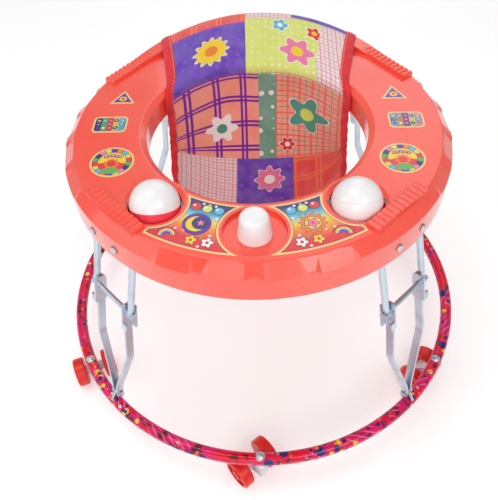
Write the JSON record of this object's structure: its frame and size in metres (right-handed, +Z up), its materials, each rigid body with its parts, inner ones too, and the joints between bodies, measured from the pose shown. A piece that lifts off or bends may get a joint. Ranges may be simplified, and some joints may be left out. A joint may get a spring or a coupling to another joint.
{
  "type": "baby walker",
  "caption": "Round baby walker: play tray with spinning balls and a turning knob, cloth sling seat, folding steel legs and a castered floor ring.",
  "frame": {"origin": "on the floor, below the middle of the floor ring", "axes": "+Z up, -Y the front that the child faces, +X to the right in the picture"},
  "size_m": [0.576, 0.6016, 0.3941],
  "materials": {
    "coral_tray": "glossy moulded polyethylene",
    "white_toy": "glossy moulded",
    "coral_toy": "glossy moulded",
    "label_film": "printed film",
    "printed_tube": "printed film on steel tube",
    "zinc_steel": "bright zinc plate",
    "white_nylon": "moulded nylon",
    "red_wheel": "moulded polypropylene",
    "patchwork_cloth": "printed woven cotton",
    "red_tape": "woven binding tape"
  },
  "bodies": {
    "base": {"base_ring": "printed_tube", "caster_stems": "zinc_steel", "caster_bushes": "white_nylon", "ring_lugs": "zinc_steel", "pivot_pins": "zinc_steel"},
    "strut_fl": {"lower_strut_fl": "zinc_steel", "knee_rod_fl": "zinc_steel"},
    "bow_fl": {"upper_bow_fl": "zinc_steel"},
    "strut_fr": {"lower_strut_fr": "zinc_steel", "knee_rod_fr": "zinc_steel"},
    "bow_fr": {"upper_bow_fr": "zinc_steel"},
    "strut_bl": {"lower_strut_bl": "zinc_steel", "knee_rod_bl": "zinc_steel"},
    "bow_bl": {"upper_bow_bl": "zinc_steel"},
    "strut_br": {"lower_strut_br": "zinc_steel", "knee_rod_br": "zinc_steel"},
    "bow_br": {"upper_bow_br": "zinc_steel"},
    "tray": {"tray_shell": "coral_tray", "hinge_brackets": "zinc_steel", "tray_screws": "zinc_steel", "tray_stickers": "label_film", "ball_axles": "zinc_steel", "knob_spindle": "zinc_steel", "seat_sling": "patchwork_cloth", "seat_binding": "red_tape", "seat_studs": "zinc_steel"},
    "ball_left": {"ball_left_upper": "white_toy", "ball_left_lower": "coral_toy"},
    "ball_right": {"ball_right_upper": "white_toy", "ball_right_lower": "white_toy"},
    "knob": {"centre_knob": "white_toy"},
    "swivel_1": {"caster_fork_1": "white_nylon"},
    "wheel_1": {"caster_axle_1": "zinc_steel", "caster_wheels_1": "red_wheel"},
    "swivel_2": {"caster_fork_2": "white_nylon"},
    "wheel_2": {"caster_axle_2": "zinc_steel", "caster_wheels_2": "red_wheel"},
    "swivel_3": {"caster_fork_3": "white_nylon"},
    "wheel_3": {"caster_axle_3": "zinc_steel", "caster_wheels_3": "red_wheel"},
    "swivel_4": {"caster_fork_4": "white_nylon"},
    "wheel_4": {"caster_axle_4": "zinc_steel", "caster_wheels_4": "red_wheel"},
    "swivel_5": {"caster_fork_5": "white_nylon"},
    "wheel_5": {"caster_axle_5": "zinc_steel", "caster_wheels_5": "red_wheel"},
    "swivel_6": {"caster_fork_6": "white_nylon"},
    "wheel_6": {"caster_axle_6": "zinc_steel", "caster_wheels_6": "red_wheel"}
  },
  "joints": [
    {"name": "fold", "type": "hinge", "parent": "base", "child": "strut_fl", "pos_m": [-0.19304, -0.19304, 0.0733], "axis": [-0.7071, 0.7071, 0], "range_deg": [0, 48], "deforming": ["seat_sling", "seat_binding"]},
    {"name": "knee_fl", "type": "hinge", "parent": "strut_fl", "child": "bow_fl", "pos_m": [-0.16688, -0.16688, 0.2503], "axis": [-0.7071, 0.7071, 0], "range_deg": [-134, 2]},
    {"name": "fold_fr", "type": "hinge", "parent": "base", "child": "strut_fr", "pos_m": [0.19304, -0.19304, 0.0733], "axis": [-0.7071, -0.7071, 0], "range_deg": [-1, 49]},
    {"name": "knee_fr", "type": "hinge", "parent": "strut_fr", "child": "bow_fr", "pos_m": [0.16688, -0.16688, 0.2503], "axis": [-0.7071, -0.7071, 0], "range_deg": [-134, 2]},
    {"name": "fold_bl", "type": "hinge", "parent": "base", "child": "strut_bl", "pos_m": [-0.19304, 0.19304, 0.0733], "axis": [0.7071, 0.7071, 0], "range_deg": [-1, 49]},
    {"name": "knee_bl", "type": "hinge", "parent": "strut_bl", "child": "bow_bl", "pos_m": [-0.16688, 0.16688, 0.2503], "axis": [0.7071, 0.7071, 0], "range_deg": [-134, 2]},
    {"name": "fold_br", "type": "hinge", "parent": "base", "child": "strut_br", "pos_m": [0.19304, 0.19304, 0.0733], "axis": [0.7071, -0.7071, 0], "range_deg": [-1, 49]},
    {"name": "knee_br", "type": "hinge", "parent": "strut_br", "child": "bow_br", "pos_m": [0.16688, 0.16688, 0.2503], "axis": [0.7071, -0.7071, 0], "range_deg": [-134, 2]},
    {"name": "tray_level", "type": "hinge", "parent": "bow_fl", "child": "tray", "pos_m": [-0.14566, -0.14566, 0.3423], "axis": [-0.7071, 0.7071, 0], "range_deg": [-2, 86]},
    {"name": "ball_left_spin", "type": "hinge", "parent": "tray", "child": "ball_left", "pos_m": [-0.10521, -0.13226, 0.3663], "axis": [1, 0, 0], "continuous": true},
    {"name": "ball_right_spin", "type": "hinge", "parent": "tray", "child": "ball_right", "pos_m": [0.10521, -0.13226, 0.3663], "axis": [1, 0, 0], "continuous": true},
    {"name": "knob_turn", "type": "hinge", "parent": "tray", "child": "knob", "pos_m": [0, -0.175, 0.3658], "axis": [0, 0, 1], "continuous": true},
    {"name": "swivel_1_turn", "type": "hinge", "parent": "base", "child": "swivel_1", "pos_m": [0, -0.28, 0.0425], "axis": [0, 0, 1], "continuous": true},
    {"name": "wheel_1_roll", "type": "hinge", "parent": "swivel_1", "child": "wheel_1", "pos_m": [-0.01115, -0.26717, 0.021], "axis": [-0.7547, -0.6561, 0], "continuous": true},
    {"name": "swivel_2_turn", "type": "hinge", "parent": "base", "child": "swivel_2", "pos_m": [0.24249, -0.14, 0.0425], "axis": [0, 0, 1], "continuous": true},
    {"name": "wheel_2_roll", "type": "hinge", "parent": "swivel_2", "child": "wheel_2", "pos_m": [0.22946, -0.12907, 0.021], "axis": [-0.6428, -0.766, 0], "continuous": true},
    {"name": "swivel_3_turn", "type": "hinge", "parent": "base", "child": "swivel_3", "pos_m": [0.24249, 0.14, 0.0425], "axis": [0, 0, 1], "continuous": true},
    {"name": "wheel_3_roll", "type": "hinge", "parent": "swivel_3", "child": "wheel_3", "pos_m": [0.23156, 0.15302, 0.021], "axis": [-0.766, -0.6428, 0], "continuous": true},
    {"name": "swivel_4_turn", "type": "hinge", "parent": "base", "child": "swivel_4", "pos_m": [0, 0.28, 0.0425], "axis": [0, 0, 1], "continuous": true},
    {"name": "wheel_4_roll", "type": "hinge", "parent": "swivel_4", "child": "wheel_4", "pos_m": [0.01115, 0.26717, 0.021], "axis": [0.7547, 0.6561, 0], "continuous": true},
    {"name": "swivel_5_turn", "type": "hinge", "parent": "base", "child": "swivel_5", "pos_m": [-0.24249, 0.14, 0.0425], "axis": [0, 0, 1], "continuous": true},
    {"name": "wheel_5_roll", "type": "hinge", "parent": "swivel_5", "child": "wheel_5", "pos_m": [-0.25099, 0.15472, 0.021], "axis": [-0.866, -0.5, 0], "continuous": true},
    {"name": "swivel_6_turn", "type": "hinge", "parent": "base", "child": "swivel_6", "pos_m": [-0.24249, -0.14, 0.0425], "axis": [0, 0, 1], "continuous": true},
    {"name": "wheel_6_roll", "type": "hinge", "parent": "swivel_6", "child": "wheel_6", "pos_m": [-0.2494, -0.12447, 0.021], "axis": [-0.9135, -0.4067, 0], "continuous": true}
  ],
  "couplings": [
    {"joint": "knee_fl", "follows": "fold", "ratio": -2.75},
    {"joint": "fold_fr", "follows": "fold", "ratio": 1},
    {"joint": "knee_fr", "follows": "fold", "ratio": -2.75},
    {"joint": "fold_bl", "follows": "fold", "ratio": 1},
    {"joint": "knee_bl", "follows": "fold", "ratio": -2.75},
    {"joint": "fold_br", "follows": "fold", "ratio": 1},
    {"joint": "knee_br", "follows": "fold", "ratio": -2.75},
    {"joint": "tray_level", "follows": "fold", "ratio": 1.75}
  ]
}
